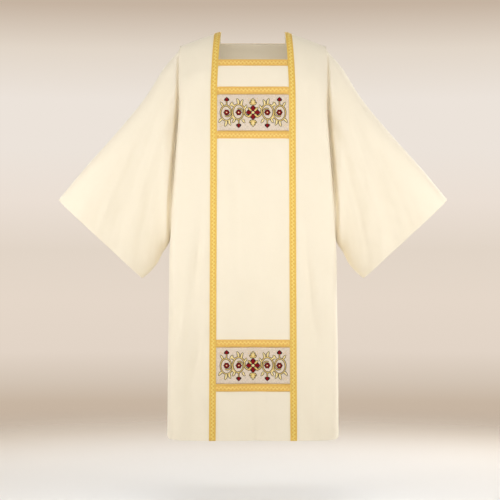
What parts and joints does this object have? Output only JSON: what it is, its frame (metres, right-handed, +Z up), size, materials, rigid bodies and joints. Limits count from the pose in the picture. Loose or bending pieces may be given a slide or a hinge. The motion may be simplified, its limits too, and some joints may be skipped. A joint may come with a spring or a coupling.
{
  "type": "dalmatic",
  "caption": "Wide-sleeved liturgical tunic, worn shape, open neck, cuffs and hem, side slits, long galloon bands and framed embroidered panels.",
  "frame": {"origin": "midway between the two neck points on the shoulder line, where the wearer's shoulders carry the garment", "axes": "+Z up, the garment faces -Y, +X is the wearer's left"},
  "size_m": [1.251, 0.2568, 1.3016],
  "materials": {
    "tunic_cloth": "smooth cream cloth with a faint sheen",
    "gold_galloon": "woven gold braid with darker edges",
    "orphrey_ground": "taupe ground cloth under embroidery",
    "embroidery_red": "satin stitch in dark red thread",
    "embroidery_dark": "satin stitch in dark grey thread",
    "embroidery_gold": "laid gold thread with an olive outline"
  },
  "bodies": {
    "root": {"front_panel": "tunic_cloth", "back_panel": "tunic_cloth", "sleeve_left_front": "tunic_cloth", "sleeve_left_back": "tunic_cloth", "sleeve_right_front": "tunic_cloth", "sleeve_right_back": "tunic_cloth", "clavus_front_left": "gold_galloon", "clavus_front_right": "gold_galloon", "clavus_back_left": "gold_galloon", "clavus_back_right": "gold_galloon", "neck_band_front": "gold_galloon", "neck_band_back": "gold_galloon", "band_chest_upper": "gold_galloon", "band_chest_lower": "gold_galloon", "band_skirt_upper": "gold_galloon", "band_skirt_lower": "gold_galloon", "orphrey_chest": "orphrey_ground", "orphrey_skirt": "orphrey_ground"}
  },
  "joints": []
}
